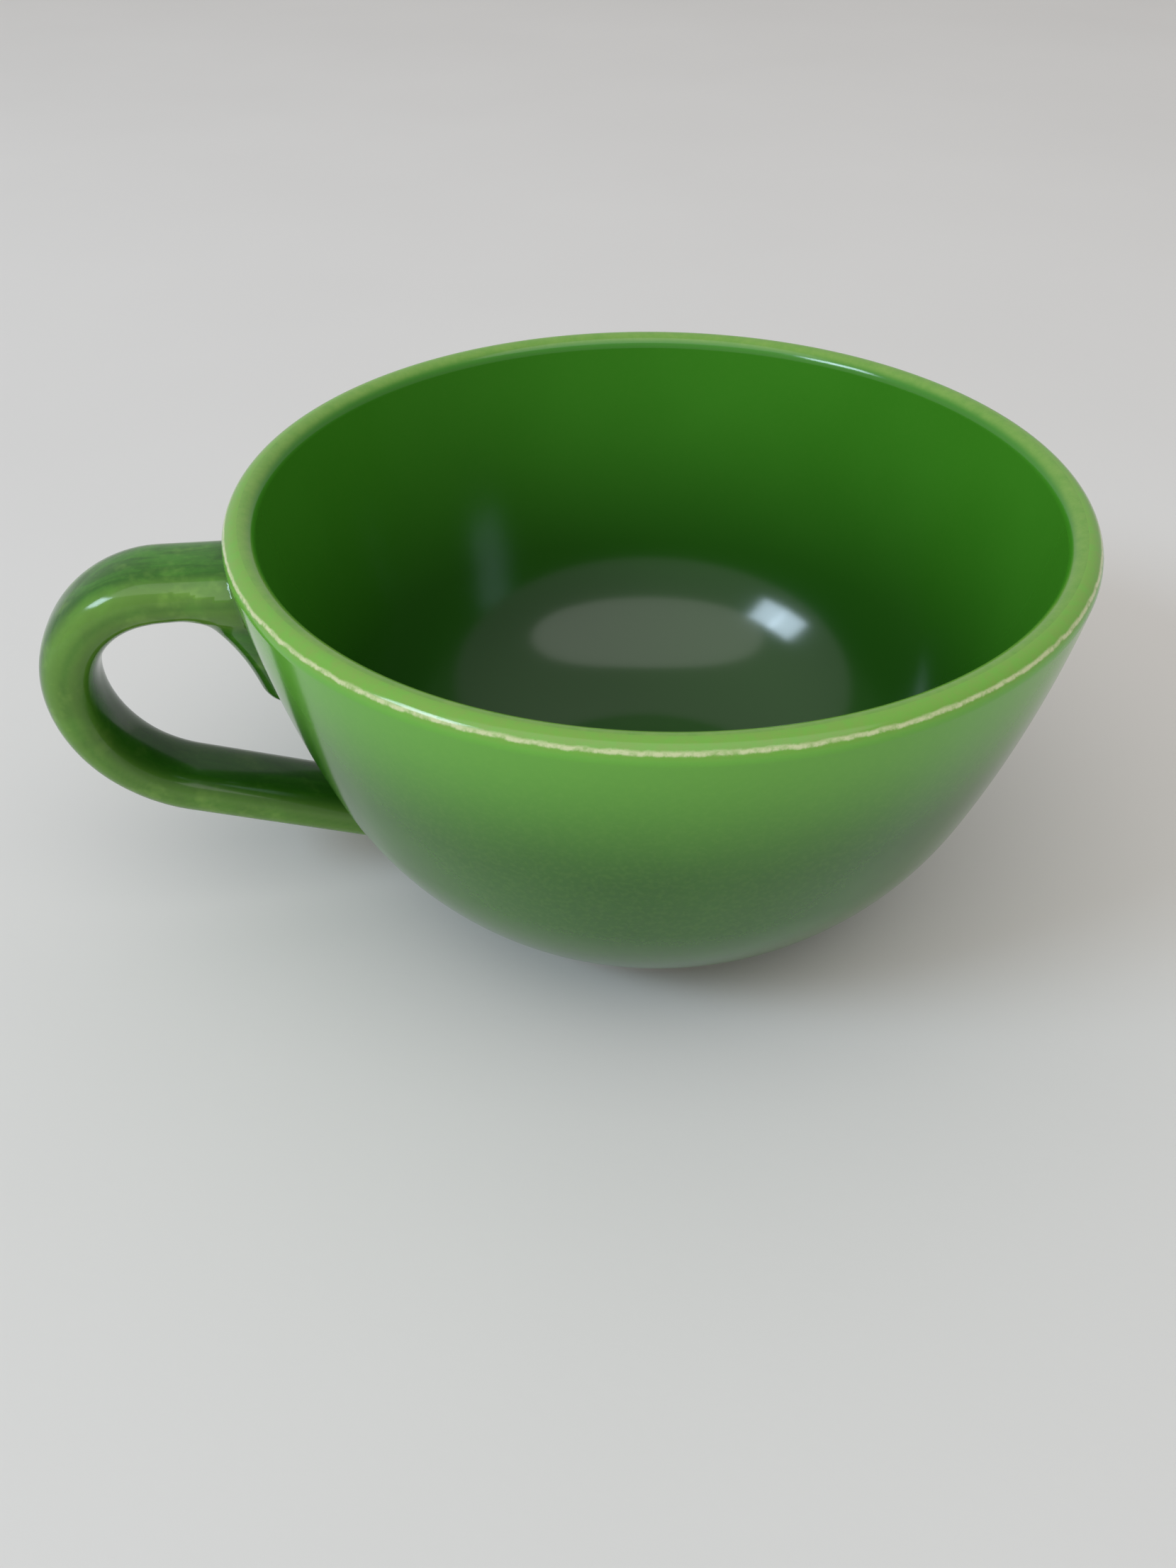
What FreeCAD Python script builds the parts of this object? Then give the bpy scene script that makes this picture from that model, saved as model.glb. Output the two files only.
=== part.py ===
import FreeCAD, Part
import math
import os

import Sketcher
from FreeCAD import Placement, Rotation, Vector

# A glazed stoneware teacup: a turned bowl on a luted foot ring, with a pulled ear handle stuck
# on with slip, and coats of glaze that stop short of the land it stands on. Millimetres.
# +Z is up, the bowl's axis is Z, it stands on Z = 0 and the handle points to -X.

DOCUMENT = "teacup"
SHEET = "dims"

# alias: (value, what it is)
DIMENSIONS = {
    "rim_radius": (52.5, "axis to the outermost glaze of the lip"),
    "cup_height": (58, "table to the crest of the lip"),
    "lip_radius": (2, "half the wall's thickness, and the radius of the rounded lip"),
    "wall_radius": (158.5, "arc of the upper wall, outside"),
    "belly_radius": (45.3, "arc of the belly, outside"),
    "lean_top": (8.3, "degrees the wall leans outwards at the lip"),
    "lean_mid": (19.3, "degrees it leans where the wall's arc meets the belly's"),
    "hollow_radius": (29, "arc of the belly, inside"),
    "lean_floor": (80, "degrees of lean where the inside belly meets the shallow floor"),
    "glaze": (0.4, "thickness of the fired glaze"),
    "slip": (0.3, "thickness of a luting seam"),
    "base_level": (2.9, "table to the clay underside of the bowl"),
    "foot_width": (3.6, "clay width of the foot ring"),
    "foot_round": (0.6, "rounding of the foot ring's lower edges"),
    "glaze_line": (0.9, "table to where the glaze was wiped off the foot"),
    "handle_level": (49.5, "table to the centre of the top arm"),
    "handle_reach": (74.5, "axis to the centre of the grip at its furthest"),
    "upper_bend": (13.3, "radius of the bend above the furthest point"),
    "lower_bend": (17.5, "radius of the bend below it"),
    "arm_drop": (18.4, "degrees the lower arm falls towards the bowl"),
    "arm_thick": (6.1, "clay thickness of the handle's oval section"),
    "arm_wide": (10.8, "clay width of the section"),
    "tail_drop": (17.5, "how far the top arm's end runs down the wall below it"),
    "tail_width": (10.6, "width of that tail at its top"),
    "tail_reach": (5.2, "how far it stands off the wall at its top"),
}

TAIL_STEPS = 7
TAIL_TOP = -0.16  # the tail starts this share of its drop inside the arm
TAIL_TIP = 0.96  # and ends at this share, where it is inside the wall's glaze
TAIL_CURVE = 1.6  # power with which the tail's reach dies away down the wall
TAIL_TAPER = 0.6  # power with which its width does
EMBEDDED = 3.0  # how deep the top arm starts inside the wall, before it is trimmed
TUCKED = 14.0  # how far the lower arm runs on under the belly, before it is trimmed
HALFWAY_UP = 24.0  # a level between the handle's two ends


# ---------------------------------------------------------------- expressions


def cell(alias):
    return f"{SHEET}.{alias}"


def on_arc(centre, radius, lean):
    """Where an arc's wall leans outwards by an angle: a point below and outside its centre."""
    x, z = centre
    return f"({x} + ({radius}) * cos({lean}))", f"({z} - ({radius}) * sin({lean}))"


def back_from(point, radius, lean):
    """The centre of the arc that passes a point where the wall leans by an angle."""
    x, z = point
    return f"({x} - ({radius}) * cos({lean}))", f"({z} + ({radius}) * sin({lean}))"


LEAN_TOP, LEAN_MID, LEAN_FLOOR = cell("lean_top"), cell("lean_mid"), cell("lean_floor")
WALL = f"(2 * {cell('lip_radius')})"
LIP_CENTRE = (
    f"({cell('rim_radius')} - {cell('lip_radius')})",
    f"({cell('cup_height')} - {cell('lip_radius')})",
)
WALL_CENTRE = back_from(
    LIP_CENTRE, f"{cell('wall_radius')} - {cell('lip_radius')}", LEAN_TOP
)
KNEE = on_arc(WALL_CENTRE, cell("wall_radius"), LEAN_MID)
BELLY_CENTRE = back_from(KNEE, cell("belly_radius"), LEAN_MID)
HOLLOW_CENTRE = back_from(KNEE, f"{cell('hollow_radius')} + {WALL}", LEAN_MID)
BEND = on_arc(HOLLOW_CENTRE, cell("hollow_radius"), LEAN_FLOOR)
FLOOR_RADIUS = f"({BEND[0]} / cos({LEAN_FLOOR}))"
FLOOR_CENTRE = ("0", f"({BEND[1]} + {FLOOR_RADIUS} * sin({LEAN_FLOOR}))")


def belly_reach(level, inset):
    """Radius of the outside at a level, for the surface that lies inset below the glaze."""
    radius = f"({cell('belly_radius')} - {inset})"
    return f"({BELLY_CENTRE[0]} + sqrt({radius}^2 - ({BELLY_CENTRE[1]} - {level})^2))"


def wall_reach(level, inset):
    """Radius of the outside of the upper wall at a level."""
    radius = f"({cell('wall_radius')} - {inset})"
    return f"({WALL_CENTRE[0]} + sqrt({radius}^2 - ({WALL_CENTRE[1]} - {level})^2))"


def belly_level(reach, inset):
    """Level of the outside at a radius."""
    radius = f"({cell('belly_radius')} - {inset})"
    return f"({BELLY_CENTRE[1]} - sqrt({radius}^2 - ({reach} - {BELLY_CENTRE[0]})^2))"


GLAZE, BARE = cell("glaze"), "0"
SEAM = f"({cell('glaze')} - {cell('slip')})"
BASE = cell("base_level")
LINE = cell("glaze_line")
ROUND = cell("foot_round")
FOOT_OUT = belly_reach(BASE, GLAZE)
FOOT_IN = f"({FOOT_OUT} - {cell('foot_width')})"
LEFT, RIGHT = 1, -1


def outside(inset):
    """The outside from the crest of the lip to the foot: points, and the arcs that join them."""
    reach = f"({FOOT_OUT} + {cell('glaze')} - {inset})"
    lip, wall, belly = (
        f"({cell(name)} - {inset})" for name in ("lip_radius", "wall_radius", "belly_radius")
    )
    points = [
        (LIP_CENTRE[0], f"({LIP_CENTRE[1]} + {lip})"),
        on_arc(LIP_CENTRE, lip, LEAN_TOP),
        on_arc(WALL_CENTRE, wall, LEAN_MID),
        (reach, belly_level(reach, inset)),
    ]
    return points, [(lip, RIGHT), (wall, RIGHT), (belly, RIGHT)]


def inside(inset):
    """The inside from the crest of the lip to the middle of the floor."""
    lip = f"({cell('lip_radius')} - {inset})"
    wall = f"({cell('wall_radius')} - {WALL} + {inset})"
    hollow = f"({cell('hollow_radius')} + {inset})"
    floor = f"({FLOOR_RADIUS} + {inset})"
    points = [
        (LIP_CENTRE[0], f"({LIP_CENTRE[1]} + {lip})"),
        back_from(LIP_CENTRE, lip, LEAN_TOP),
        on_arc(WALL_CENTRE, wall, LEAN_MID),
        on_arc(HOLLOW_CENTRE, hollow, LEAN_FLOOR),
        ("0", f"({FLOOR_CENTRE[1]} - {floor})"),
    ]
    return points, [(lip, LEFT), (wall, RIGHT), (hollow, RIGHT), (floor, RIGHT)]


# ---------------------------------------------------------------- turned pieces


class Outline:
    """A closed outline in a body's XZ plane. Every corner and radius is bound to the sheet."""

    def __init__(self, body, sheet):
        self.sketch = body.newObject("Sketcher::SketchObject", f"{body.Label}_outline")
        self.sketch.AttachmentSupport = (origin_plane(body, "XZ_Plane"), [""])
        self.sketch.MapMode = "FlatFace"
        self.sheet = sheet
        self.corners = []
        self.sides = []

    def down(self, chain):
        """Adds a chain of points and arcs, after a straight side from what came before."""
        points, arcs = chain
        self.corners += points
        self.sides += arcs + [None]

    def up(self, chain):
        """Adds the same chain from its other end, where each arc turns the other way."""
        points, arcs = chain
        self.down((points[::-1], [(radius, -turn) for radius, turn in arcs[::-1]]))

    def straight(self, *points):
        self.down((list(points), [None] * (len(points) - 1)))

    def corner(self, start, end, radius, turn):
        self.down(([start, end], [(radius, turn)]))

    def value(self, expression):
        return float(self.sheet.evalExpression(expression))

    def draw(self, closed=True):
        places = [Vector(self.value(x), self.value(z), 0) for x, z in self.corners]
        ends = []
        for side, start in enumerate(places if closed else places[:-1]):
            end = places[(side + 1) % len(places)]
            if self.sides[side] is None:
                line = Part.LineSegment(start, end)
                ends.append((self.sketch.addGeometry(line, False), 1, 2))
            else:
                ends.append(self.arc(start, end, *self.sides[side]))
        for side, (edge, first, last) in enumerate(ends):
            self.place(edge, first, self.corners[side])
            after, start, _ = ends[(side + 1) % len(ends)]
            if closed or side + 1 < len(ends):
                self.sketch.addConstraint(
                    Sketcher.Constraint("Coincident", edge, last, after, start)
                )
            else:
                self.place(edge, last, self.corners[side + 1])
        return self.sketch

    def place(self, edge, end, corner):
        self.bind("DistanceX", (-1, 1, edge, end), corner[0])
        self.bind("DistanceY", (-1, 1, edge, end), corner[1])

    def arc(self, start, end, radius, turn):
        """An arc of less than half a turn. Its centre is to the left or right of the way along."""
        size = self.value(radius)
        chord = end - start
        across = Vector(-chord.y, chord.x, 0).normalize()
        centre = (start + end) / 2 + across * turn * math.sqrt(size**2 - chord.Length**2 / 4)
        first, last = (start, end) if turn == LEFT else (end, start)
        angles = [math.atan2(p.y - centre.y, p.x - centre.x) for p in (first, last)]
        circle = Part.Circle(centre, Vector(0, 0, 1), size)
        edge = self.sketch.addGeometry(Part.ArcOfCircle(circle, *angles), False)
        self.bind("Radius", (edge,), radius)
        return (edge, 1, 2) if turn == LEFT else (edge, 2, 1)

    def bind(self, kind, where, expression):
        """A driving constraint that follows an expression of the sheet's cells."""
        size = Sketcher.Constraint(kind, *where, self.value(expression))
        index = self.sketch.addConstraint(size)
        self.sketch.renameConstraint(index, f"size_{index}")
        self.sketch.setExpression(f"Constraints.size_{index}", expression)


def origin_plane(body, role):
    return next(f for f in body.Origin.OriginFeatures if f.Role == role)


def turn_piece(doc, label, fill):
    """A body turned once round Z, from the outline that fill puts in its sketch."""
    body = doc.addObject("PartDesign::Body", label)
    outline = Outline(body, doc.getObject(SHEET))
    fill(outline)
    sketch = outline.draw()
    turned = body.newObject("PartDesign::Revolution", f"{label}_turned")
    turned.Profile = sketch
    turned.ReferenceAxis = (sketch, ["V_Axis"])
    turned.Angle = 360
    return body


def bowl_outline(outline):
    outline.down(outside(GLAZE))
    outline.straight(("0", BASE))
    outline.up(inside(GLAZE))
    merge_crest(outline)


def merge_crest(outline):
    """Drops the last corner, where the chain has come back to the first."""
    outline.corners.pop()
    outline.sides.pop()


def inner_glaze_outline(outline):
    outline.down(inside(BARE))
    outline.up(inside(GLAZE))


def outer_glaze_outline(outline):
    outline.down(outside(BARE))
    outline.straight((f"({FOOT_OUT} + {GLAZE})", LINE), (FOOT_OUT, LINE))
    outline.up(outside(GLAZE))


def base_glaze_outline(outline):
    """The coat in the recess under the bowl, down the inside of the foot ring."""
    coat_in = f"({FOOT_IN} - {GLAZE})"
    under = f"({BASE} - {GLAZE})"
    outline.straight(("0", BASE), (FOOT_IN, BASE), (FOOT_IN, LINE))
    outline.straight((coat_in, LINE), (coat_in, under), ("0", under))


def foot_outline(outline):
    top = f"({BASE} - {cell('slip')})"
    outline.straight((FOOT_IN, top), (FOOT_OUT, top))
    outline.corner((FOOT_OUT, ROUND), (f"({FOOT_OUT} - {ROUND})", "0"), ROUND, RIGHT)
    outline.corner((f"({FOOT_IN} + {ROUND})", "0"), (FOOT_IN, ROUND), ROUND, RIGHT)


def foot_slip_outline(outline):
    under = f"({BASE} - {cell('slip')})"
    outline.straight((FOOT_IN, BASE), (FOOT_OUT, BASE), (FOOT_OUT, under), (FOOT_IN, under))


def form_outline(inset):
    """A solid block of the outside's shape, which trims the handle's ends to the wall."""

    def fill(outline):
        outline.down(outside(inset))
        outline.straight(("0", BASE), ("0", outside(inset)[0][0][1]))

    return fill


# ---------------------------------------------------------------- handle


TOP_ROOT = f"({cell('rim_radius')} - {EMBEDDED})"
TOP_BEND = f"({cell('handle_reach')} - {cell('upper_bend')})"
GRIP_LEVEL = f"({cell('handle_level')} - {cell('upper_bend')})"
LOW_CENTRE = (f"({cell('handle_reach')} - {cell('lower_bend')})", GRIP_LEVEL)
ARM_TURN = f"(90 - {cell('arm_drop')})"
LOW_BEND = on_arc(LOW_CENTRE, cell("lower_bend"), ARM_TURN)
LOW_ROOT_REACH = f"({belly_reach(LOW_BEND[1], BARE)} - {TUCKED})"
LOW_ROOT = (
    LOW_ROOT_REACH,
    f"({LOW_BEND[1]} - ({LOW_BEND[0]} - {LOW_ROOT_REACH}) * tan({cell('arm_drop')}))",
)


def mirrored(point):
    """The same point on the handle's side of the axis."""
    x, z = point
    return f"(-{x})", z


def arm(doc, label, coat):
    """The handle's sweep: an oval, grown by a coat, along two straights and two bends."""
    body = doc.addObject("PartDesign::Body", label)
    route = Outline(body, doc.getObject(SHEET))
    points = [
        (TOP_ROOT, cell("handle_level")),
        (TOP_BEND, cell("handle_level")),
        (cell("handle_reach"), GRIP_LEVEL),
        LOW_BEND,
        LOW_ROOT,
    ]
    bends = [None, (cell("upper_bend"), LEFT), (cell("lower_bend"), LEFT), None]
    route.down(([mirrored(point) for point in points], bends))
    route.draw(closed=False)

    section = body.newObject("Sketcher::SketchObject", f"{label}_section")
    section.AttachmentSupport = (origin_plane(body, "YZ_Plane"), [""])
    section.MapMode = "FlatFace"
    section.setExpression(".AttachmentOffset.Base.y", cell("handle_level"))
    section.setExpression(".AttachmentOffset.Base.z", f"-{TOP_ROOT}")
    draw_oval(section, doc.getObject(SHEET), coat)

    pipe = body.newObject("PartDesign::AdditivePipe", f"{label}_sweep")
    pipe.Profile = section
    pipe.Spine = (route.sketch, [f"Edge{side + 1}" for side in range(len(bends))])
    return body


def draw_oval(sketch, sheet, coat):
    """An ellipse about the sketch's origin, its two diameters bound to the sheet."""
    sizes = [f"({cell(alias)} + 2 * {coat})" for alias in ("arm_wide", "arm_thick")]
    wide, thick = (float(sheet.evalExpression(size)) for size in sizes)
    ends = Vector(wide / 2, 0, 0), Vector(0, thick / 2, 0)
    oval = sketch.addGeometry(Part.Ellipse(*ends, Vector(0, 0, 0)), False)
    sketch.exposeInternalGeometry(oval)
    long_axis, short_axis = oval + 1, oval + 2
    sketch.addConstraint(Sketcher.Constraint("Coincident", oval, 3, -1, 1))
    sketch.addConstraint(Sketcher.Constraint("Horizontal", long_axis))
    for axis, size, value in ((long_axis, sizes[0], wide), (short_axis, sizes[1], thick)):
        index = sketch.addConstraint(Sketcher.Constraint("Distance", axis, value))
        sketch.renameConstraint(index, f"size_{index}")
        sketch.setExpression(f"Constraints.size_{index}", size)


def tail(doc, label, coat):
    """The end of the top arm, drawn down the wall to a tongue: a loft of level ovals."""
    sheet = doc.getObject(SHEET)
    sections = []
    for step in range(TAIL_STEPS + 1):
        share = TAIL_TOP + (TAIL_TIP - TAIL_TOP) * step / TAIL_STEPS
        left = min(1 - share, 1)
        under = f"({cell('arm_thick')} / 2 + {share:.4f} * {cell('tail_drop')})"
        level = float(sheet.evalExpression(f"{cell('handle_level')} - {under}"))
        reach = float(sheet.evalExpression(wall_reach(level, GLAZE)))
        section = doc.addObject("Part::Ellipse", f"{label}_{step}")
        width = f"{cell('tail_width')} / 2 * {left ** TAIL_TAPER:.4f} + {coat}"
        depth = f"{cell('tail_reach')} * {left ** TAIL_CURVE:.4f} + {coat}"
        section.setExpression("MajorRadius", width)
        section.setExpression("MinorRadius", depth)
        turn = Rotation(Vector(0, 1, 0), Vector(-1, 0, 0), Vector(0, 0, 1), "ZXY")
        section.Placement = Placement(Vector(-reach, 0, level), turn)
        sections.append(section)
    loft = doc.addObject("Part::Loft", label)
    loft.Sections = sections
    loft.Solid = True
    return loft


def join(doc, kind, name, *pieces):
    """A boolean of two or more objects. The first is the one that is cut."""
    made = doc.addObject(f"Part::{kind}", name)
    if kind == "Cut":
        made.Base, made.Tool = pieces
    else:
        made.Shapes = list(pieces)
    return made


def half_space(doc, name, low, high):
    """A block that takes in everything between two levels."""
    block = doc.addObject("Part::Box", name)
    side = f"4 * {cell('rim_radius')}"
    block.setExpression("Length", side)
    block.setExpression("Width", side)
    block.Height = high - low
    half = 2 * float(doc.getObject(SHEET).rim_radius)
    block.Placement = Placement(Vector(-half, -half, low), Rotation())
    return block


# ---------------------------------------------------------------- the cup


def fill_sheet(doc):
    """Writes each dimension as a plain number with an alias, and its meaning beside it."""
    sheet = doc.addObject("Spreadsheet::Sheet", SHEET)
    for row, (alias, (value, meaning)) in enumerate(DIMENSIONS.items(), start=1):
        sheet.set(f"A{row}", meaning)
        sheet.set(f"B{row}", str(value))
        sheet.setAlias(f"B{row}", alias)
    doc.recompute()
    return sheet


def make_cup(doc):
    """Every piece of the fired cup, by its own label."""
    sheet = fill_sheet(doc)
    pieces = [
        turn_piece(doc, "bowl_body", bowl_outline),
        turn_piece(doc, "foot_ring", foot_outline),
        turn_piece(doc, "foot_slip", foot_slip_outline),
        turn_piece(doc, "inner_glaze", inner_glaze_outline),
        turn_piece(doc, "base_glaze", base_glaze_outline),
    ]
    glazed_form = turn_piece(doc, "glazed_form", form_outline(BARE))
    seam_form = turn_piece(doc, "seam_form", form_outline(SEAM))
    clay_form = turn_piece(doc, "clay_form", form_outline(GLAZE))
    coat_shell = turn_piece(doc, "coat_shell", outer_glaze_outline)
    doc.recompute()

    core_parts = arm(doc, "arm", BARE), tail(doc, "tail", BARE)
    grown_parts = arm(doc, "grown_arm", GLAZE), tail(doc, "grown_tail", GLAZE)
    core = join(doc, "MultiFuse", "handle_core", *core_parts)
    grown = join(doc, "MultiFuse", "handle_grown", *grown_parts)
    pieces.append(join(doc, "Cut", "handle_body", core, seam_form))
    coat = join(doc, "Cut", "handle_coat", grown, core)
    pieces.append(join(doc, "Cut", "handle_glaze", coat, glazed_form))
    pieces.append(join(doc, "Cut", "outer_glaze", coat_shell, core))

    seam = join(doc, "Cut", "seam_shell", seam_form, clay_form)
    top = float(sheet.cup_height)
    for label, low, high in (
        ("handle_upper_slip", HALFWAY_UP, top),
        ("handle_lower_slip", 0, HALFWAY_UP),
    ):
        block = half_space(doc, f"{label}_block", low, high)
        pieces.append(join(doc, "MultiCommon", label, core, seam, block))
    doc.recompute()
    return pieces


def check(doc, pieces):
    """Stops on any object that failed, and on any piece that isn't one whole solid."""
    for item in doc.Objects:
        if {"Invalid", "Error"} & set(item.State):
            raise RuntimeError(f"{item.Label}: {item.State}")
    for piece in pieces:
        shape = piece.Shape
        if shape.isNull() or not shape.isValid() or len(shape.Solids) != 1:
            raise RuntimeError(f"{piece.Label}: {len(shape.Solids)} solids")
        size = shape.BoundBox
        extents = [round(side, 1) for side in (size.XLength, size.YLength, size.ZLength)]
        print(f"{piece.Label:18} {shape.Volume / 1000:8.3f} ml  {extents} mm")


def main():
    doc = FreeCAD.newDocument(DOCUMENT)
    pieces = make_cup(doc)
    check(doc, pieces)
    os.makedirs("parts", exist_ok=True)
    for piece in pieces:
        piece.Shape.exportStep(f"parts/{piece.Label}.step")


main()
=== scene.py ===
import math

import bpy
import numpy as np
from mathutils import Matrix, Vector


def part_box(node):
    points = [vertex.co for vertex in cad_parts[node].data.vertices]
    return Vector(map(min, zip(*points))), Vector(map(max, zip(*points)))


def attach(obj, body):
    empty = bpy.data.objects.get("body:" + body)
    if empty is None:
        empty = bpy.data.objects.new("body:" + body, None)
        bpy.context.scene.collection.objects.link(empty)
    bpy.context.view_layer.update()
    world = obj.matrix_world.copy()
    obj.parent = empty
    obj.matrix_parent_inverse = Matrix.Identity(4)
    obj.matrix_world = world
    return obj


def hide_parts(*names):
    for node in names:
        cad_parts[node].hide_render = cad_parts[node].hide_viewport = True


# The glazed teacup's looks. The outside, the inside and the handle each get a coat of glaze drawn
# as a closed skin. The clay, the slip, the foot and the coat under the base are the CAD's own.
# Metres, in the CAD frame: the bowl's axis is Z and the handle points to -X.

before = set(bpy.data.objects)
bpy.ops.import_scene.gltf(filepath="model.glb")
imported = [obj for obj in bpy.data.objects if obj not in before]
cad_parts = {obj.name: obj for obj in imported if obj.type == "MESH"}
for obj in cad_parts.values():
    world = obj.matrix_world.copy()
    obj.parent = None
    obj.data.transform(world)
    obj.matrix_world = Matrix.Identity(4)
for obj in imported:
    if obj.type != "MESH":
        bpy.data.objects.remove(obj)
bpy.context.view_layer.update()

MM = 0.001
RIM_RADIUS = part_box("outer_glaze")[1].y
CUP_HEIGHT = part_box("outer_glaze")[1].z
HANDLE_REACH = -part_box("handle_glaze")[0].x
FOOT_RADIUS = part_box("foot_ring")[1].y

# ---------------------------------------------------------------- the bowl's section

LIP = 2.0 * MM  # the lip's radius
WALL = 2 * LIP
WALL_ARC = 158.5 * MM
BELLY_ARC = 45.3 * MM
HOLLOW_ARC = 29.0 * MM  # inside, between the wall and the floor
LEAN_TOP = math.radians(8.3)
LEAN_MID = math.radians(19.3)
LEAN_FLOOR = math.radians(80)
MIDDLE_GAP = 0.004  # how far short of facing straight up the floor's arc stops, in radians
SKIN = 0.34 * MM  # the drawn thickness of a coat, a little less than the CAD coat's
GLAZE = 0.4 * MM  # the CAD coat's
GLAZE_LINE = 0.9 * MM  # where the coat ends, above the table
COVE = 0.9 * MM  # the hollow round between the belly and the foot
BEAD = 0.3 * MM  # the round edge of the coat at its line
CREST = -math.pi / 2  # the lean where the lip faces straight up


def leaning(centre, radius, lean):
    """Where an arc's wall leans outwards by an angle, as (distance from the axis, height)."""
    return centre[0] + radius * math.cos(lean), centre[1] - radius * math.sin(lean)


def backwards(point, radius, lean):
    """The centre of an arc whose wall leans by an angle at a point."""
    return point[0] - radius * math.cos(lean), point[1] + radius * math.sin(lean)


LIP_CENTRE = (RIM_RADIUS - LIP, CUP_HEIGHT - LIP)
WALL_CENTRE = backwards(LIP_CENTRE, WALL_ARC - LIP, LEAN_TOP)
KNEE = leaning(WALL_CENTRE, WALL_ARC, LEAN_MID)
BELLY_CENTRE = backwards(KNEE, BELLY_ARC, LEAN_MID)
HOLLOW_CENTRE = backwards(KNEE, HOLLOW_ARC + WALL, LEAN_MID)
BEND = leaning(HOLLOW_CENTRE, HOLLOW_ARC, LEAN_FLOOR)
FLOOR_ARC = BEND[0] / math.cos(LEAN_FLOOR)
FLOOR_CENTRE = (0.0, BEND[1] + FLOOR_ARC * math.sin(LEAN_FLOOR))
FOOT_SKIN_RADIUS = FOOT_RADIUS + GLAZE


class Section:
    """A run of arcs and straights, as rows of (from the axis, height, normal out, normal up)."""

    def __init__(self):
        self.rows = []

    def arc(self, centre, radius, start, end, steps, facing=1):
        """facing is 1 where the surface faces away from the arc's centre, -1 towards it."""
        for lean in np.linspace(start, end, steps + 1)[1 if self.rows else 0:]:
            x, z = leaning(centre, radius, lean)
            self.rows.append((x, z, facing * math.cos(lean), -facing * math.sin(lean)))
        return self

    def straight(self, end, normal, steps):
        """Runs on to an end point, with one normal all the way."""
        x, z = self.rows[-1][:2]
        for share in np.linspace(0, 1, steps + 1)[1:]:
            point = x + (end[0] - x) * share, z + (end[1] - z) * share
            self.rows.append((*point, *normal))
        return self


def outside_section():
    """From the crest of the lip, over the lip, down the wall and belly, and down the foot."""
    section = Section()
    section.arc(LIP_CENTRE, LIP, CREST, LEAN_TOP, steps=26)
    section.arc(WALL_CENTRE, WALL_ARC, LEAN_TOP, LEAN_MID, steps=34)
    # The cove is tangent to the belly and to the upright foot.
    lean = math.acos((FOOT_SKIN_RADIUS + COVE - BELLY_CENTRE[0]) / (BELLY_ARC + COVE))
    section.arc(BELLY_CENTRE, BELLY_ARC, LEAN_MID, lean, steps=44)
    cove_centre = leaning(BELLY_CENTRE, BELLY_ARC + COVE, lean)
    section.arc(cove_centre, COVE, lean - math.pi, -math.pi, steps=8, facing=-1)
    bead_centre = (FOOT_SKIN_RADIUS - BEAD, GLAZE_LINE + BEAD)
    section.straight((FOOT_SKIN_RADIUS, GLAZE_LINE + BEAD), normal=(1.0, 0.0), steps=3)
    section.arc(bead_centre, BEAD, 0, math.pi / 2, steps=5)
    return section


def inside_section():
    """From the crest of the lip, down inside to the middle of the floor."""
    section = Section()
    section.arc(LIP_CENTRE, LIP, CREST, LEAN_TOP - math.pi, steps=26)
    section.arc(WALL_CENTRE, WALL_ARC - WALL, LEAN_TOP, LEAN_MID, steps=34, facing=-1)
    section.arc(HOLLOW_CENTRE, HOLLOW_ARC, LEAN_MID, LEAN_FLOOR, steps=40, facing=-1)
    section.arc(FLOOR_CENTRE, FLOOR_ARC, LEAN_FLOOR, math.pi / 2 - MIDDLE_GAP, steps=18, facing=-1)
    return section


# ---------------------------------------------------------------- meshes

TURN_STEPS = 288  # round the bowl


def mesh_object(name, points, faces, normals=None, shades=None):
    """A smooth object. normals are one to a point, and shades are named values at the points."""
    mesh = bpy.data.meshes.new(name)
    mesh.from_pydata([tuple(point) for point in points], [], faces)
    for label, values in (shades or {}).items():
        layer = mesh.attributes.new(label, "FLOAT", "POINT")
        layer.data.foreach_set("value", np.asarray(values, np.float32))
    mesh.shade_smooth()
    if normals is not None:
        mesh.normals_split_custom_set_from_vertices([tuple(normal) for normal in normals])
    mesh.update()
    piece = bpy.data.objects.new(name, mesh)
    bpy.context.scene.collection.objects.link(piece)
    return piece


def turned_skin(name, section, poles=False):
    """A closed skin turned round Z. With poles, it ends in the middle rather than at an edge."""
    front = np.array(section.rows)
    if poles:
        front[-1] = (0.0, front[-1, 1], 0.0, 1.0)
    back = front.copy()
    back[:, :2] -= SKIN * front[:, 2:]
    back[:, 2:] *= -1
    loop = np.vstack([front, back[::-1]])
    middle = (len(front) - 1, len(front)) if poles else ()

    number, points, normals = {}, [], []
    for step in range(TURN_STEPS):
        angle = 2 * math.pi * step / TURN_STEPS
        across, along = math.cos(angle), math.sin(angle)
        for row, (x, z, out, up) in enumerate(loop):
            if step and row in middle:
                number[step, row] = number[0, row]
                continue
            number[step, row] = len(points)
            points.append((x * across, x * along, z))
            normals.append((out * across, out * along, up))

    run = front[1, :2] - front[0, :2]
    outwards = run[0] * front[0, 3] - run[1] * front[0, 2] > 0
    faces = []
    for step in range(TURN_STEPS):
        after = (step + 1) % TURN_STEPS
        for row in range(len(loop)):
            following = (row + 1) % len(loop)
            corners = (step, row), (step, following), (after, following), (after, row)
            ring = list(dict.fromkeys(number[corner] for corner in corners))
            if len(ring) > 2:
                faces.append(ring if outwards else ring[::-1])
    return mesh_object(name, points, faces, normals)


# ---------------------------------------------------------------- the handle's form

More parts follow.
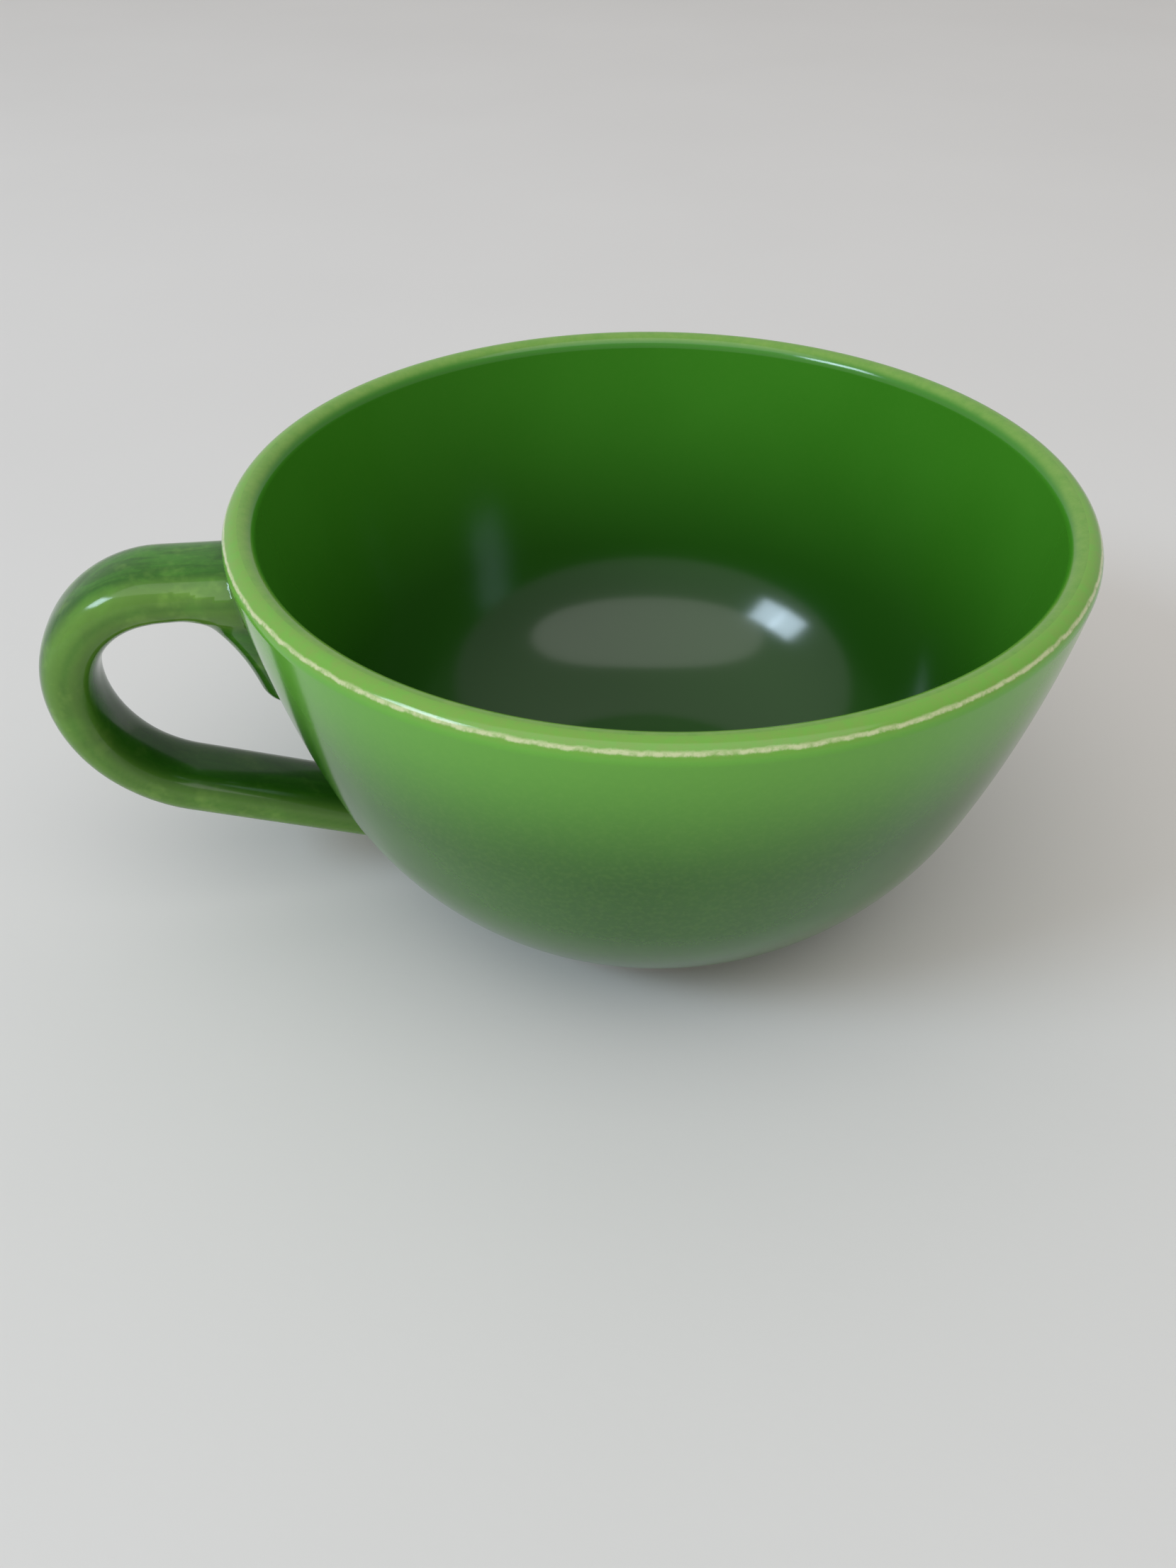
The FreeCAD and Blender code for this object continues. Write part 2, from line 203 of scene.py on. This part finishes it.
HANDLE_LEVEL = 49.5 * MM  # the top arm's centre line, above the table
UPPER_BEND = 13.3 * MM
LOWER_BEND = 17.5 * MM
GRIP_CENTRE = 74.5 * MM  # the furthest the centre line goes from the bowl's axis
ARM_DROP = math.radians(18.4)  # how steeply the lower arm falls
SQUARENESS = 2.5  # 2 is an ellipse; more is a fuller oval
# The glazed arm's half thickness and half width, at distances along it from the upper bend.
ARM_MARKS = np.array([-14, 2, 36]) * MM
ARM_THICK = np.array([3.3, 3.7, 3.25]) * MM
ARM_WIDE = np.array([6.35, 6.3, 5.55]) * MM

TAIL_TOP = 46.5 * MM
TAIL_TIP = 31.2 * MM
TIP_LENGTH = 3.2 * MM  # the stretch over which the tip rounds off
TAIL_REACH = 7.4 * MM  # how far the tail stands out from the wall at its top
TAIL_HALF = 5.8 * MM  # half its width there
TIP_REACH = 0.48  # the shares of these two that are left at the tip
TIP_HALF = 0.62
TAIL_FLARE = 2.6  # how late the tail starts to stand out, on its way up
TAIL_SQUARE = 2.2

TAIL_ROUND = 2.2 * MM  # how widely the tail blends into the arm
SEAM_ROUND = 1.1 * MM  # and the handle into the bowl
SEAM_EDGE = 1.12  # where the drawn seam ends, as a share of SEAM_ROUND
DIVE = 0.16 * MM  # how far the handle's skin dips under the bowl's near its edge
DIVE_START = 0.55  # where the dip starts, as a share of SEAM_ROUND
DIVE_MOST = 1.6  # and where it stops growing, in dips

# The handle's net of points: its spacing, and the space it covers.
CELL = 0.55 * MM
NET_LOW = (-HANDLE_REACH - 2 * MM, -9.5 * MM, 4.0 * MM)
NET_HIGH = (-30.0 * MM, 9.5 * MM, HANDLE_LEVEL + 6 * MM)


def blend_min(first, second, reach):
    """The lower of two fields, rounded where they cross."""
    share = np.maximum(reach - np.abs(first - second), 0) / reach
    return np.minimum(first, second) - share**2 * reach / 4


def bowl_field(points):
    """Distance outside the glazed bowl."""
    reach = np.hypot(points[:, 0], points[:, 1])
    level = points[:, 2]
    wall = np.hypot(reach - WALL_CENTRE[0], level - WALL_CENTRE[1]) - WALL_ARC
    belly = np.hypot(reach - BELLY_CENTRE[0], level - BELLY_CENTRE[1]) - BELLY_ARC
    return np.where(level > KNEE[1], wall, belly)


def upper_half(reach, rise):
    """The level arm and its bend, from the bend's centre. The bend starts at 0 along."""
    straight = reach < 0
    along = np.where(straight, reach, UPPER_BEND * np.arctan2(reach, rise))
    return along, np.where(straight, rise, np.hypot(reach, rise)) - UPPER_BEND


def lower_half(reach, drop):
    """The lower bend, from its centre, and the falling arm, which leaves it at a tangent."""
    sweep = math.pi / 2 - ARM_DROP
    turned = np.arctan2(drop, reach)
    bending = turned < sweep
    run = drop * math.sin(ARM_DROP) - reach * math.cos(ARM_DROP)
    aside = drop * math.cos(ARM_DROP) + reach * math.sin(ARM_DROP)
    along = np.where(bending, LOWER_BEND * turned, LOWER_BEND * sweep + run)
    return along, np.where(bending, np.hypot(reach, drop), aside) - LOWER_BEND


def along_handle(points):
    """(distance along, offset outwards from the centre line) in the handle's own plane."""
    reach, rise = -points[:, 0], points[:, 2] - (HANDLE_LEVEL - UPPER_BEND)
    upper = upper_half(reach - (GRIP_CENTRE - UPPER_BEND), rise)
    lower = lower_half(reach - (GRIP_CENTRE - LOWER_BEND), -rise)
    along = np.where(rise < 0, UPPER_BEND * math.pi / 2 + lower[0], upper[0])
    return along, np.where(rise < 0, lower[1], upper[1])


def arm_field(points):
    """Distance outside the bent arm, as if it had no bowl to meet."""
    along, offset = along_handle(points)
    thick = np.interp(along, ARM_MARKS, ARM_THICK)
    wide = np.interp(along, ARM_MARKS, ARM_WIDE)
    oval = (np.abs(offset) / thick) ** SQUARENESS + (np.abs(points[:, 1]) / wide) ** SQUARENESS
    return (oval ** (1 / SQUARENESS) - 1) * thick


def tail_field(points):
    """The tongue down the wall: an oval over the wall, which thins towards a rounded tip."""
    level = points[:, 2]
    tip_top = TAIL_TIP + TIP_LENGTH
    left = np.clip((level - tip_top) / (TAIL_TOP - tip_top), 0, 1)
    reach = (TIP_REACH + (1 - TIP_REACH) * left**TAIL_FLARE) * TAIL_REACH
    half = (TIP_HALF + (1 - TIP_HALF) * left) * TAIL_HALF
    under = np.maximum(tip_top - level, 0)
    shares = np.stack(
        [np.abs(bowl_field(points)) / reach, np.abs(points[:, 1]) / half, under / TIP_LENGTH]
    )
    oval = (shares**TAIL_SQUARE).sum(0) ** (1 / TAIL_SQUARE)
    return np.maximum((oval - 1) * np.minimum(reach, half), level - HANDLE_LEVEL)


def stem_field(points):
    """Distance outside the arm and its tail together."""
    return blend_min(arm_field(points), tail_field(points), TAIL_ROUND)


def handle_field(points):
    """The handle's glazed surface, which runs out onto the bowl and dips under it at its edge."""
    stem = stem_field(points)
    joined = blend_min(stem, bowl_field(points), SEAM_ROUND)
    edge = (stem - DIVE_START * SEAM_ROUND) / ((1 - DIVE_START) * SEAM_ROUND)
    return joined + DIVE * np.clip(edge, 0, DIVE_MOST)


def cell_points(grid, values):
    """The number of each cell that zero crosses, and the middle of the crossings on its edges."""
    cells = [count - 1 for count in values.shape]
    inside = values < 0
    total = np.zeros(cells + [3])
    crossings = np.zeros(cells)

    def corner(array, offset):
        return array[tuple(slice(o, o + n) for o, n in zip(offset, cells))]

    for start in np.ndindex(2, 2, 2):
        for axis in range(3):
            if start[axis]:
                continue
            end = tuple(o + (axis == a) for a, o in enumerate(start))
            crossed = corner(inside, start) != corner(inside, end)
            first, second = corner(values, start), corner(values, end)
            gap = np.where(crossed, first - second, 1.0)
            share = np.where(crossed, first / gap, 0.0)
            place = corner(grid, start) + share[..., None] * (corner(grid, end) - corner(grid, start))
            total += np.where(crossed[..., None], place, 0.0)
            crossings += crossed
    used = crossings > 0
    number = np.full(used.shape, -1)
    number[used] = np.arange(used.sum())
    return number, total[used] / crossings[used][:, None]


def cell_quads(number, inside):
    """A quad round each grid edge that zero crosses, from the points of the four cells there."""
    quads = []
    for axis in range(3):
        side, other = [a for a in range(3) if a != axis]
        here = [slice(1, n - 1) for n in inside.shape]
        here[axis] = slice(0, inside.shape[axis] - 1)
        there = list(here)
        there[axis] = slice(1, inside.shape[axis])
        crossed = inside[tuple(here)] != inside[tuple(there)]
        outwards = inside[tuple(here)][crossed]
        index = np.argwhere(crossed)
        index[:, [side, other]] += 1
        ring = []
        for back, down in ((1, 1), (0, 1), (0, 0), (1, 0)):
            cell = index.copy()
            cell[:, side] -= back
            cell[:, other] -= down
            ring.append(number[tuple(cell.T)])
        ring = np.stack(ring, 1)
        kept_way = outwards if axis != 1 else ~outwards
        ring[~kept_way] = ring[~kept_way][:, ::-1]
        quads.append(ring)
    return np.vstack(quads)


def surface_net(low, high, cell, field):
    """Quads where a field crosses zero on a grid, with one point in each crossed cell."""
    counts = [int(math.ceil((b - a) / cell)) + 1 for a, b in zip(low, high)]
    axes = [a + cell * np.arange(n) for a, n in zip(low, counts)]
    grid = np.stack(np.meshgrid(*axes, indexing="ij"), -1)
    values = field(grid.reshape(-1, 3)).reshape(counts)
    number, points = cell_points(grid, values)
    return points, cell_quads(number, values < 0)


PROBE = 0.02 * MM  # the step over which a field's slope is measured
SETTLE_STEPS = 4
SETTLE_MOVE = 0.3 * MM  # the most a point moves in one of them


def steepness(points, field):
    """A field's unit normals at points, and how fast it grows along them."""
    rises = [field(points + PROBE * axis) - field(points - PROBE * axis) for axis in np.eye(3)]
    slope = np.stack(rises, 1) / (2 * PROBE)
    length = np.maximum(np.linalg.norm(slope, axis=1), 1e-6)
    return slope / length[:, None], length


def settle(points, field):
    """Moves points onto the zero of a field and returns its unit normals there."""
    for _ in range(SETTLE_STEPS):
        normals, length = steepness(points, field)
        move = np.clip(field(points) / length, -SETTLE_MOVE, SETTLE_MOVE)
        points = points - normals * move[:, None]
    return points, steepness(points, field)[0]


def closed_shell(faces, count):
    """A coat's faces: its front, its back, whose points come count later, and the edge between."""
    edges = np.vstack([faces[:, [i, (i + 1) % 4]] for i in range(4)])
    directed = set(map(tuple, edges))
    rim = [edge for edge in map(tuple, edges) if edge[::-1] not in directed]
    closing = [(b, a, a + count, b + count) for a, b in rim]
    return faces.tolist() + (faces[:, ::-1] + count).tolist() + closing


def handle_piece():
    """The coat over the handle, its tail and the soft seams where they meet the bowl."""
    points, faces = surface_net(NET_LOW, NET_HIGH, CELL, handle_field)
    points, normals = settle(points, handle_field)
    faces = faces[(stem_field(points)[faces] < SEAM_EDGE * SEAM_ROUND).all(1)]
    used = np.unique(faces)
    renumber = np.full(len(points), -1)
    renumber[used] = np.arange(len(used))
    faces, points, normals = renumber[faces], points[used], normals[used]
    shades = {name: np.tile(values, 2) for name, values in handle_shades(points).items()}
    return mesh_object(
        "glaze_handle",
        np.vstack([points, points - SKIN * normals]),
        closed_shell(faces, len(points)),
        np.vstack([normals, -normals]),
        shades,
    )


# Where the handle's glaze is thin or pooled, and where painted shade darkens it. Shares are of the arm's
# half width and thickness.
THIN_SIDE = 0.6  # across the arm, where its edge starts
THIN_SOFT = 0.3  # and how soon the glaze is thinnest
THIN_OFFSET = 0.55  # how far from the middle of the arm's side the edge lies
THIN_BAND = 0.85  # and how far to either side of that it reaches
CREASE_DEPTH = 0.45 * MM  # how fast the pooled glaze and painted shade in the seam fade away from the wall
CREASE_END = 1.1  # where it is gone, as a share of SEAM_ROUND from the handle
HOLLOW_START = 16 * MM  # along the handle, where its inner face starts to darken
HOLLOW_RUN = 12 * MM  # and how soon it is at its darkest
HOLLOW_MOST = 0.85
HOLLOW_GAIN = 1.3  # how sharply it darkens round from the arm's side
HOLLOW_END = 1.5  # the inner face is nearer to the centre line than this


def handle_shades(points):
    """thin is 1 on the edges that the glaze runs off; the other value is 1 in the creases and on the lower
    arm's inner face, as pooled glaze with painted shade.
    """
    along, offset = along_handle(points)
    offset = offset / np.interp(along, ARM_MARKS, ARM_THICK)
    side = np.abs(points[:, 1]) / np.interp(along, ARM_MARKS, ARM_WIDE)
    edge = np.clip((side - THIN_SIDE) / THIN_SOFT, 0, 1)
    edge = edge * np.clip(2 * (THIN_BAND - np.abs(np.abs(offset) - THIN_OFFSET)), 0, 1)
    crease = np.exp(-np.maximum(bowl_field(points), 0) / CREASE_DEPTH)
    crease = crease * np.clip(CREASE_END - stem_field(points) / SEAM_ROUND, 0, 1)
    # The inner face of the lower arm, darker as pooled glaze and painted shade. The tail lies far inside
    # it, and stays out.
    inner = np.clip(-HOLLOW_GAIN * offset, 0, 1) * (offset > -HOLLOW_END)
    hollow = inner * np.clip((along - HOLLOW_START) / HOLLOW_RUN, 0, 1)
    return {"thin": edge * (1 - crease), "pool_and_shade": np.clip(crease + HOLLOW_MOST * hollow, 0, 1)}


# ---------------------------------------------------------------- materials


# The places of the colour sockets on a mix node, whose names it repeats for other kinds of value.
MIX_FACTOR = 0
MIX_FIRST = 6
MIX_SECOND = 7
MIX_RESULT = 2


class Shader:
    """Short calls for building one material's nodes."""

    def __init__(self, name):
        self.material = bpy.data.materials.new(name)
        self.material.use_nodes = True
        self.nodes = self.material.node_tree.nodes
        self.links = self.material.node_tree.links
        self.surface = self.nodes["Principled BSDF"]
        self.place = self.add("ShaderNodeTexCoord").outputs["Object"]

    def add(self, kind, **settings):
        """A new node, with its properties set."""
        node = self.nodes.new(kind)
        for key, value in settings.items():
            setattr(node, key, value)
        return node

    def feed(self, node, values):
        """Sets a node's inputs, by name or number, to values or to other nodes' outputs."""
        for key, value in values.items():
            if isinstance(value, bpy.types.NodeSocket):
                self.links.new(value, node.inputs[key])
            else:
                node.inputs[key].default_value = value

    def noise(self, scale, detail=3.0, rough=0.5, place=None, distort=0.0):
        node = self.add("ShaderNodeTexNoise")
        self.feed(node, {"Vector": place or self.place, "Scale": scale, "Detail": detail,
                         "Roughness": rough, "Distortion": distort})
        return node.outputs["Fac"]

    def spots(self, scale, size):
        """1 inside small round spots scattered at a scale, 0 outside."""
        node = self.add("ShaderNodeTexVoronoi")
        self.feed(node, {"Vector": self.place, "Scale": scale})
        core = 0.6 * size
        return self.ramp(node.outputs["Distance"], (core, 1.0), (size, 0.0))

    def ramp(self, factor, start, end):
        """A grey that runs from start to end, each of them (position, value)."""
        node = self.add("ShaderNodeValToRGB")
        for element, (position, value) in zip(node.color_ramp.elements, (start, end)):
            element.position = position
            element.color = rgb(value, value, value)
        self.links.new(factor, node.inputs["Fac"])
        return node.outputs["Color"]

    def math(self, kind, first, second=0.0, clamp=False):
        node = self.add("ShaderNodeMath", operation=kind, use_clamp=clamp)
        self.feed(node, {0: first, 1: second})
        return node.outputs[0]

    def times(self, first, second):
        return self.math("MULTIPLY", first, second)

    def mix(self, factor, first, second):
        """A colour that is first where factor is 0 and second where it is 1."""
        node = self.add("ShaderNodeMix", data_type="RGBA")
        self.feed(node, {MIX_FACTOR: factor, MIX_FIRST: first, MIX_SECOND: second})
        return node.outputs[MIX_RESULT]

    def height(self):
        """Height above the table, in millimetres."""
        split = self.add("ShaderNodeSeparateXYZ")
        self.links.new(self.place, split.inputs[0])
        return self.times(split.outputs["Z"], 1 / MM)

    def between(self, value, low, high, soft):
        """1 where a value lies between two limits, with soft edges."""
        rise = self.map_range(value, low - soft, low + soft)
        fall = self.map_range(value, high + soft, high - soft)
        return self.times(rise, fall)

    def map_range(self, value, start, end, low=0.0, high=1.0):
        """low where value is at start and high where it is at end, smoothly between them."""
        node = self.add("ShaderNodeMapRange", interpolation_type="SMOOTHSTEP")
        self.feed(node, {"Value": value, "From Min": start, "From Max": end,
                         "To Min": low, "To Max": high})
        return node.outputs["Result"]

    def value_of(self, name):
        """One of the mesh's own shades."""
        return self.add("ShaderNodeAttribute", attribute_name=name).outputs["Fac"]

    def bump(self, height, distance):
        node = self.add("ShaderNodeBump")
        self.feed(node, {"Height": height, "Distance": distance, "Strength": 1.0})
        self.links.new(node.outputs["Normal"], self.surface.inputs["Normal"])


def rgb(red, green, blue):
    return (red, green, blue, 1.0)


DEEP_AND_SHADE = rgb(0.006, 0.042, 0.002)  # dark green where the glaze is thick, and painted shade in the well, low on the belly and in the handle's creases
WELL = rgb(0.045, 0.232, 0.012)
WELL_LIGHT = rgb(0.059, 0.276, 0.018)
COAT = rgb(0.021, 0.112, 0.005)
COAT_LIGHT = rgb(0.032, 0.144, 0.008)
ARM = rgb(0.033, 0.150, 0.008)
ARM_LIGHT = rgb(0.048, 0.195, 0.013)
BREAK = rgb(0.185, 0.350, 0.057)  # where it breaks over an edge
FRESH = rgb(0.175, 0.500, 0.060)  # the paler green of the wall towards the lip
CREAM = rgb(0.560, 0.610, 0.330)
SPECK = rgb(0.014, 0.080, 0.008)
CLAY_SPECK = rgb(0.16, 0.10, 0.06)
CLAY_LIGHTER = 1.18
CLAY_DARKER = 0.78

# Heights on the coats, in millimetres above the table.
RIM = CUP_HEIGHT / MM
# Painted shade low on the belly, between these heights.
BELLY_PAINTED_SHADE = (26, 3)
WALL_PALES = (35, RIM)
OUTER_LIP = (RIM - 1.8, RIM - 0.8)
CREAM_LINE = (RIM - 1.05, RIM - 0.68)
CREAM_SOFT = 0.12
CREAM_WANDER = 0.2  # how far the line strays up and down
# Painted shade in the well, from the rim down to this height.
WELL_PAINTED_SHADE = (RIM, 18)
INNER_LIP = (RIM - 1.0, RIM - 0.25)


def cloudy(shader, first, second, scale):
    """An even coat of glaze that drifts a little between two greens."""
    cloud = shader.ramp(shader.noise(scale, 3, 0.5), (0.32, 0.0), (0.70, 1.0))
    return shader.mix(cloud, first, second)


def flecked(shader, colour, amount):
    """Fine pale grain and a few small dark flecks in patches."""
    grain = shader.ramp(shader.noise(1500, 2, 0.6), (0.45, 0.0), (0.66, 1.0))
    colour = shader.mix(shader.times(grain, 0.4 * amount), colour, BREAK)
    patches = shader.ramp(shader.noise(90), (0.5, 0.0), (0.6, 1.0))
    flecks = shader.times(shader.spots(430, 0.15), patches)
    return shader.mix(shader.times(flecks, amount), colour, SPECK)


def finish_glaze(shader, colour, rough, index, ripple):
    """The glaze's gloss, and the slight ripple in it."""
    shader.feed(shader.surface, {"Base Color": colour, "Roughness": rough, "IOR": index})
    shader.bump(shader.noise(240, 2, 0.5), ripple)
    return shader.material


def outside_glaze():
    shader = Shader("green_glaze_outside")
    level = shader.height()
    colour = flecked(shader, cloudy(shader, COAT, COAT_LIGHT, 42), 0.22)
    # Painted shade darkens the belly low down, and the wall grows paler towards the lip.
    colour = shader.mix(shader.map_range(level, *BELLY_PAINTED_SHADE, high=0.3), colour, DEEP_AND_SHADE)
    colour = shader.mix(shader.map_range(level, *WALL_PALES, high=0.74), colour, FRESH)
    mottle = shader.ramp(shader.noise(700, 4, 0.7), (0.35, 0.4), (0.65, 1.0))
    lip = shader.map_range(level, *OUTER_LIP)
    colour = shader.mix(shader.times(lip, mottle), colour, BREAK)
    wander = shader.map_range(shader.noise(450, 5, 0.75), 0, 1, -CREAM_WANDER, CREAM_WANDER)
    line = shader.between(shader.math("ADD", level, wander), *CREAM_LINE, CREAM_SOFT)
    worn = shader.ramp(shader.noise(900, 3, 0.7), (0.3, 0.35), (0.55, 1.0))
    colour = shader.mix(shader.times(line, worn), colour, CREAM)
    return finish_glaze(shader, colour, rough=0.13, index=1.43, ripple=0.006 * MM)


def inside_glaze():
    shader = Shader("green_glaze_inside")
    level = shader.height()
    colour = flecked(shader, cloudy(shader, WELL, WELL_LIGHT, 22), 0.05)
    # Painted shade: the well is darker the deeper it goes.
    colour = shader.mix(shader.map_range(level, *WELL_PAINTED_SHADE, high=0.93), colour, DEEP_AND_SHADE)
    lip = shader.map_range(level, *INNER_LIP)
    mottle = shader.ramp(shader.noise(650, 4, 0.7), (0.3, 0.6), (0.7, 1.0))
    colour = shader.mix(shader.times(lip, mottle), colour, BREAK)
    return finish_glaze(shader, colour, rough=0.14, index=1.52, ripple=0.003 * MM)


def handle_glaze():
    shader = Shader("green_glaze_handle")
    colour = flecked(shader, cloudy(shader, ARM, ARM_LIGHT, 60), 0.2)
    # Dark streaks along the arm, and pale blotches.
    stretch = shader.add("ShaderNodeMapping")
    shader.feed(stretch, {"Vector": shader.place, "Scale": (1.0, 3.0, 1.0)})
    streak = shader.noise(120, 4, 0.6, place=stretch.outputs["Vector"], distort=0.8)
    dark = shader.ramp(streak, (0.42, 1.0), (0.60, 0.0))
    colour = shader.mix(shader.times(dark, 0.45), colour, DEEP_AND_SHADE)
    pale = shader.ramp(shader.noise(230, 3, 0.6), (0.54, 0.0), (0.72, 1.0))
    thin = shader.value_of("thin")
    amount = shader.math("ADD", shader.times(thin, 0.55), shader.times(pale, 0.4), clamp=True)
    colour = shader.mix(amount, colour, BREAK)
    # Pooled glaze with painted shade, in the seams and on the lower arm's inner face.
    colour = shader.mix(shader.times(shader.value_of("pool_and_shade"), 0.85), colour, DEEP_AND_SHADE)
    return finish_glaze(shader, colour, rough=0.13, index=1.43, ripple=0.006 * MM)


def clay(name, tone):
    """Bare fired clay: cloudy, a little gritty, with fine dark specks."""
    shader = Shader(name)
    light = rgb(*(CLAY_LIGHTER * part for part in tone))
    dark = rgb(*(CLAY_DARKER * part for part in tone))
    cloud = shader.ramp(shader.noise(180, 5, 0.65), (0.3, 0.0), (0.7, 1.0))
    colour = shader.mix(cloud, dark, light)
    colour = shader.mix(shader.times(shader.spots(700, 0.22), 0.5), colour, CLAY_SPECK)
    shader.feed(shader.surface, {"Base Color": colour, "Roughness": 0.78})
    shader.bump(shader.noise(1600, 4, 0.7), 0.03 * MM)
    return shader.material


# ---------------------------------------------------------------- the stage

CAMERA_PLACE = Vector((-28.72, -144.26, 131.55)) * MM
CAMERA_TURN = math.radians(82.14)  # the way it looks, round from +X
CAMERA_DROP = math.radians(39.44)
CAMERA_ROLL = math.radians(-0.25)
CAMERA_LENS = 30.09
CAMERA_SENSOR = 36
NEAREST_SEEN = 5 * MM


def add_camera():
    lens = bpy.data.cameras.new("camera")
    lens.lens = CAMERA_LENS
    lens.sensor_width = CAMERA_SENSOR
    lens.clip_start = NEAREST_SEEN
    camera = bpy.data.objects.new("camera", lens)
    bpy.context.scene.collection.objects.link(camera)
    level = math.cos(CAMERA_DROP)
    across, along = level * math.cos(CAMERA_TURN), level * math.sin(CAMERA_TURN)
    way = Vector((across, along, -math.sin(CAMERA_DROP)))
    aim = way.to_track_quat("-Z", "Y").to_matrix() @ Matrix.Rotation(CAMERA_ROLL, 3, "Z")
    camera.matrix_world = Matrix.Translation(CAMERA_PLACE) @ aim.to_4x4()
    bpy.context.scene.camera = camera


LIGHTS_AIM = Vector((0, 0, 30)) * MM
CEILING_TINT = (1.0, 0.99, 0.97)
WINDOW_TINT = (0.66, 0.83, 1.0)


def add_light(name, shape, turn, rise, distance, size, power, tint):
    """An area light that faces the cup. Its turn round Z from +X and its rise are in degrees."""
    lamp = bpy.data.lights.new(name, "AREA")
    lamp.shape = shape
    lamp.size, lamp.size_y = size
    lamp.energy = power
    lamp.color = tint
    light = bpy.data.objects.new(name, lamp)
    bpy.context.scene.collection.objects.link(light)
    turn, rise = math.radians(turn), math.radians(rise)
    away = Vector((math.cos(rise) * math.cos(turn), math.cos(rise) * math.sin(turn), math.sin(rise)))
    light.location = LIGHTS_AIM + away * distance
    light.rotation_euler = away.to_track_quat("Z", "Y").to_euler()


FLOOR_HALF = 4.0
SKY = 1.0  # the strength of the room's soft light
SKY_LEAN = 0.3  # and how much more of it comes from the left
# The sky's tone up to one height and from another, as the sines of their angles.
SKY_LOW = (0.42, rgb(0.50, 0.50, 0.50))
SKY_HIGH = (0.95, rgb(0.66, 0.65, 0.64))


def add_floor():
    signs = ((-1, -1), (1, -1), (1, 1), (-1, 1))
    corners = [(across * FLOOR_HALF, along * FLOOR_HALF, 0) for across, along in signs]
    floor = mesh_object("floor", corners, [(0, 1, 2, 3)])
    shader = Shader("pale_floor")
    tone = shader.mix(shader.noise(9, 3), rgb(0.65, 0.63, 0.61), rgb(0.69, 0.67, 0.65))
    shader.feed(shader.surface, {"Base Color": tone, "Roughness": 0.8, "Specular IOR Level": 0.2})
    shader.bump(shader.noise(500, 3), 0.02 * MM)
    floor.data.materials.append(shader.material)


def add_sky():
    """Soft grey light all round, a little paler overhead and stronger from the left."""
    world = bpy.data.worlds.new("studio")
    bpy.context.scene.world = world
    world.use_nodes = True
    nodes, links = world.node_tree.nodes, world.node_tree.links
    place = nodes.new("ShaderNodeTexCoord")
    split = nodes.new("ShaderNodeSeparateXYZ")
    links.new(place.outputs["Generated"], split.inputs[0])
    rise = nodes.new("ShaderNodeValToRGB")
    rise.color_ramp.interpolation = "EASE"
    for element, (position, tone) in zip(rise.color_ramp.elements, (SKY_LOW, SKY_HIGH)):
        element.position = position
        element.color = tone
    links.new(split.outputs["Z"], rise.inputs["Fac"])
    side = nodes.new("ShaderNodeMapRange")
    side.inputs["From Min"].default_value = -1.0
    side.inputs["To Min"].default_value = SKY * (1 + SKY_LEAN)
    side.inputs["To Max"].default_value = SKY * (1 - SKY_LEAN)
    links.new(split.outputs["X"], side.inputs["Value"])
    background = nodes["Background"]
    links.new(rise.outputs["Color"], background.inputs["Color"])
    links.new(side.outputs["Result"], background.inputs["Strength"])


def add_lights():
    """One wide soft light overhead, and the two panes of a window at the left."""
    add_light(
        "ceiling", "ELLIPSE", turn=263, rise=66, distance=1.6, size=(2.5, 1.3), power=9.5, tint=CEILING_TINT
    )
    pane = {"rise": 37, "distance": 1.5, "size": (0.26, 0.34), "power": 4.0, "tint": WINDOW_TINT}
    for side, turn in (("left", 193), ("right", 204)):
        add_light(f"window_pane_{side}", "RECTANGLE", turn=turn, **pane)


# ---------------------------------------------------------------- the cup


def dress_clay(coat):
    """Clay on the CAD nodes that stay, and the outside's glaze on the one coat among them."""
    body = clay("stoneware_clay", (0.50, 0.42, 0.32))
    slips = ("foot_slip", "handle_upper_slip", "handle_lower_slip")
    dress = dict.fromkeys(("bowl_body", "handle_body", *slips), body)
    dress["foot_ring"] = clay("bare_clay", (0.52, 0.42, 0.30))
    dress["base_glaze"] = coat
    for node, material in dress.items():
        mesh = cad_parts[node].data
        mesh.materials.clear()
        mesh.materials.append(material)


def main():
    outside = turned_skin("glaze_outside", outside_section())
    inside = turned_skin("glaze_inside", inside_section(), poles=True)
    coats = {
        "outer_glaze": (outside, outside_glaze()),
        "inner_glaze": (inside, inside_glaze()),
        "handle_glaze": (handle_piece(), handle_glaze()),
    }
    for node, (piece, material) in coats.items():
        piece.data.materials.append(material)
        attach(piece, "root")
        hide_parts(node)

    dress_clay(coats["outer_glaze"][1])
    add_floor()
    add_sky()
    add_lights()
    add_camera()
    bpy.context.scene.view_settings.view_transform = "Standard"


main()
